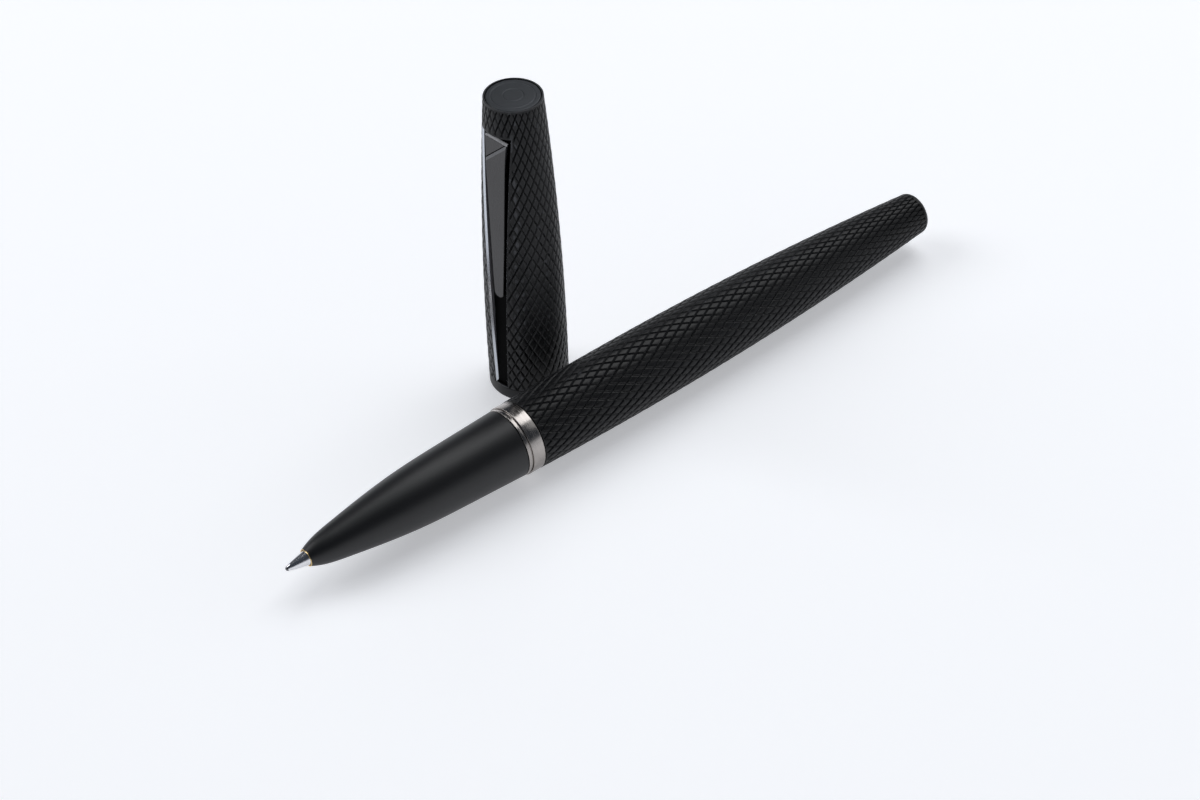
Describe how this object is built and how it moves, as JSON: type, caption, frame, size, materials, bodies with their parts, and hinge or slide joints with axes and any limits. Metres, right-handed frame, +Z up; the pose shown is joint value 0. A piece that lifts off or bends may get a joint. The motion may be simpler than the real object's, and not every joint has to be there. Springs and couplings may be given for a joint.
{
  "type": "rollerball pen with separate cap",
  "caption": "Slim tapered pen with a bare conical writing point, a smooth grip, a polished trim ring and a diamond-engraved barrel, with its clip cap standing beside it.",
  "frame": {"origin": "on the surface the pen lies on, under the middle of the layout of pen and cap", "axes": "+X along the pen from writing point to tail, +Y from the pen to the standing cap, +Z up"},
  "size_m": [0.13, 0.0288, 0.055],
  "materials": {
    "barrel_black": "matte black anodised over a diamond engraving",
    "cap_black": "matte black anodised over a diamond engraving",
    "grip_black": "satin black lacquer",
    "trim_gunmetal": "polished gunmetal plating",
    "clip_gunmetal": "satin dark gunmetal plating",
    "finial_dark": "satin dark grey",
    "point_steel": "turned and polished",
    "ball_carbide": "ground carbide",
    "brass_internal": "turned brass",
    "spring_steel": "bright spring wire",
    "internal_plastic": "moulded",
    "refill_plastic": "moulded",
    "refill_metal": "drawn tube",
    "ink_fibre": "ink-soaked fibre"
  },
  "bodies": {
    "barrel": {"barrel_shell": "barrel_black", "barrel_thread_insert": "brass_internal", "barrel_liner": "brass_internal", "spring_seat": "internal_plastic", "refill_spring": "spring_steel"},
    "trim_ring": {"trim_ring": "trim_gunmetal"},
    "grip": {"grip_section": "grip_black", "section_thread_sleeve": "brass_internal", "nose_bush": "brass_internal"},
    "refill": {"refill_point": "point_steel", "refill_shoulder_plug": "refill_plastic", "ink_feed_rod": "ink_fibre", "refill_tube": "refill_metal", "ink_reservoir": "ink_fibre", "refill_end_plug": "refill_plastic"},
    "ball": {"writing_ball": "ball_carbide"},
    "cap": {"cap_shell": "cap_black", "cap_snap_ring": "spring_steel", "inner_cap": "internal_plastic", "clip_carrier": "brass_internal", "clip_pivot_pin": "spring_steel", "clip_spring": "spring_steel", "finial_plug": "brass_internal", "finial_disc": "finial_dark"},
    "clip": {"clip": "clip_gunmetal"}
  },
  "joints": [
    {"name": "section_travel", "type": "slide", "parent": "barrel", "child": "trim_ring", "axis": [-1, 0, 0], "range_m": [0, 0.0045]},
    {"name": "section_unscrew", "type": "hinge", "parent": "trim_ring", "child": "grip", "pos_m": [-0.065, -0.00819, 0.00619], "axis": [-1, 0, 0], "range_deg": [0, 2161]},
    {"name": "refill_push", "type": "slide", "parent": "grip", "child": "refill", "axis": [1, 0, 0], "range_m": [0, 0.0006], "stiffness_N_per_m": 400, "springref_m": -0.0025, "deforming": ["refill_spring"]},
    {"name": "ball_roll", "type": "hinge", "parent": "refill", "child": "ball", "pos_m": [-0.06465, -0.00819, 0.00619], "axis": [0, 1, 0], "continuous": true},
    {"name": "cap_lift", "type": "slide", "parent": "barrel", "child": "cap", "axis": [0, 0, 1], "range_m": [0, 0.07]},
    {"name": "clip_open", "type": "hinge", "parent": "cap", "child": "clip", "pos_m": [-0.00848, 0.00764, 0.0471], "axis": [-0.1599, 0.9871, 0], "range_deg": [0, 4], "stiffness_Nm_per_rad": 0.6, "springref_deg": -6.88, "deforming": ["clip_spring"]}
  ],
  "couplings": [
    {"joint": "section_unscrew", "follows": "section_travel", "rad_per_m": 8377.6}
  ]
}
